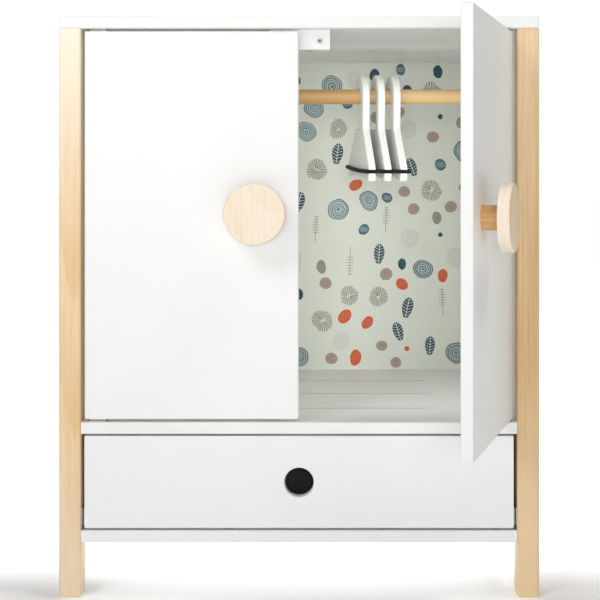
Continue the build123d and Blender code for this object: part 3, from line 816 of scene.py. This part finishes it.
def scatter():
    """Places each motif at the roomiest of several random spots."""
    taken = []
    for _ in range(ROUNDS):
        batch = [(kind, size) for kind, size, share in MOTIFS for _ in range(share)]
        dice.shuffle(batch)
        for kind, size in batch:
            r = size * MM * dice.uniform(0.9, 1.08)
            best, best_gap = None, GAP
            for _ in range(TRIES):
                x = dice.uniform(r - ROOM_SIDE, ROOM_SIDE - r)
                z = dice.uniform(ROOM_LOW + r, ROOM_HIGH - r)
                gap = min([((x - a) ** 2 + (z - b) ** 2) ** 0.5 - r - c for a, b, c in taken], default=1.0)
                if gap > best_gap:
                    best, best_gap = (x, z), gap
            if best:
                taken.append((*best, r))
                draw(kind, best, r)


scatter()
for ink_name, (tint, _) in INKS.items():
    prints[ink_name].piece(f"print_{ink_name}", ink(f"ink_{ink_name}", tint))


# ------------------------------------------------------------------ floor, light and camera
FLOOR_HALF = 30.0
FLOOR_TONES = (0.93, 0.93, 0.93), (0.95, 0.95, 0.95)
NEAR_GLOW = 0.15             # the floor's own glow by the object,
FAR_GLOW = 0.93              # and where it is a white background
GLOW_REACH = (0.4, 1.8)      # the distances from the floor's middle between which it grows
GLOW_BEHIND = (-0.18, 0.02)  # the places along Y between which it grows behind the object
AMBIENT = 0.08               # brightness of the room all round,
BACKDROP = 1.05              # and as the camera sees it
KEY_POWER = 9.8
FRONT_POWER = 22.0
OVER_POWER = 8.5
CROWN_POWER = 0.32
INSIDE_POWER = 0.185


def studio_floor():
    """A pale matt floor that fades to a white background through its own glow."""
    s = Shader("studio_floor")
    colour = s.blend(s.noise(s.place(), 30.0, 4.0), *FLOOR_TONES)
    away = s.node("ShaderNodeVectorMath", {"operation": "LENGTH"}, Vector=s.place()).outputs["Value"]
    around = s.remap(away, *GLOW_REACH, NEAR_GLOW, FAR_GLOW, smooth=True)
    behind = s.remap(s.split(s.place())[1], *GLOW_BEHIND, 0.0, FAR_GLOW, smooth=True)
    return s.set(Base_Color=colour, Roughness=0.75, Specular_IOR_Level=0.2, Emission_Color=(1.0, 1.0, 1.0),
                 Emission_Strength=s.math("MAXIMUM", around, behind))


def flat_square(name, half, height):
    """A level square, half wide to each side."""
    mesh = bpy.data.meshes.new(name)
    corners = [(-half, -half, height), (half, -half, height), (half, half, height), (-half, half, height)]
    mesh.from_pydata(corners, [], [(0, 1, 2, 3)])
    made = bpy.data.objects.new(name, mesh)
    bpy.context.collection.objects.link(made)
    return made


floor = flat_square("floor", FLOOR_HALF, CAD_BOUNDS[0][2])
floor.data.materials.append(studio_floor())


def soft_light(name, place, target, size, power, tint=(1, 1, 1), spread=180):
    """A rectangular lamp that looks at target. spread is the angle in degrees that it shines into."""
    data = bpy.data.lights.new(name, "AREA")
    data.shape = "RECTANGLE"
    data.size, data.size_y = size
    data.spread = radians(spread)
    data.energy = power
    data.color = tint
    lamp = bpy.data.objects.new(name, data)
    lamp.location = place
    lamp.rotation_euler = (Vector(target) - Vector(place)).to_track_quat("-Z", "Y").to_euler()
    bpy.context.collection.objects.link(lamp)


# The key light is high on the left, over is a warmer one on the right, inside stands in the opening to light
# the wardrobe's inside, and crown is a narrow one for the top
WARM = (1.0, 0.94, 0.86)
GREENISH = (0.975, 1.0, 0.90)
soft_light("key", (-0.80, -1.15, 1.40), (0.0, -0.15, 0.32), (0.7, 0.7), KEY_POWER)
soft_light("front", (0.10, -3.0, 0.55), (0.05, 0.0, 0.30), (0.9, 0.7), FRONT_POWER)
soft_light("over", (0.85, -0.42, 2.0), (0.18, -0.25, 0.35), (0.32, 0.32), OVER_POWER, WARM)
soft_light("inside", (0.0, -0.085, 0.345), (0.0, 0.0, 0.320), (0.37, 0.30), INSIDE_POWER, GREENISH)
soft_light("crown", (0.0, 0.30, 2.2), (0.0, 0.05, 0.52), (0.30, 0.20), CROWN_POWER, spread=26)

world = bpy.data.worlds.new("studio")
world.use_nodes = True
bpy.context.scene.world = world
tree = world.node_tree
background = tree.nodes["Background"]
background.inputs["Color"].default_value = (1.0, 1.0, 1.0, 1.0)
seen = tree.nodes.new("ShaderNodeLightPath")
level = tree.nodes.new("ShaderNodeMapRange")
level.inputs["To Min"].default_value = AMBIENT
level.inputs["To Max"].default_value = BACKDROP
tree.links.new(seen.outputs["Is Camera Ray"], level.inputs["Value"])
tree.links.new(level.outputs["Result"], background.inputs["Strength"])
bpy.context.scene.view_settings.view_transform = "Standard"

EYE = (0.0393, -1.238, 0.369)
LENS, SENSOR = 72.7, 36.0    # millimetres
SHIFT = (-0.0717, -0.1917)   # of the frame: the camera looks square at the front, from off its middle
camera_data = bpy.data.cameras.new("camera")
camera_data.sensor_width = SENSOR
camera_data.lens = LENS
camera_data.shift_x, camera_data.shift_y = SHIFT
camera_data.clip_end = 100.0
camera = bpy.data.objects.new("camera", camera_data)
camera.location = EYE
camera.rotation_euler = (radians(90), 0, 0)
bpy.context.collection.objects.link(camera)
bpy.context.scene.camera = camera
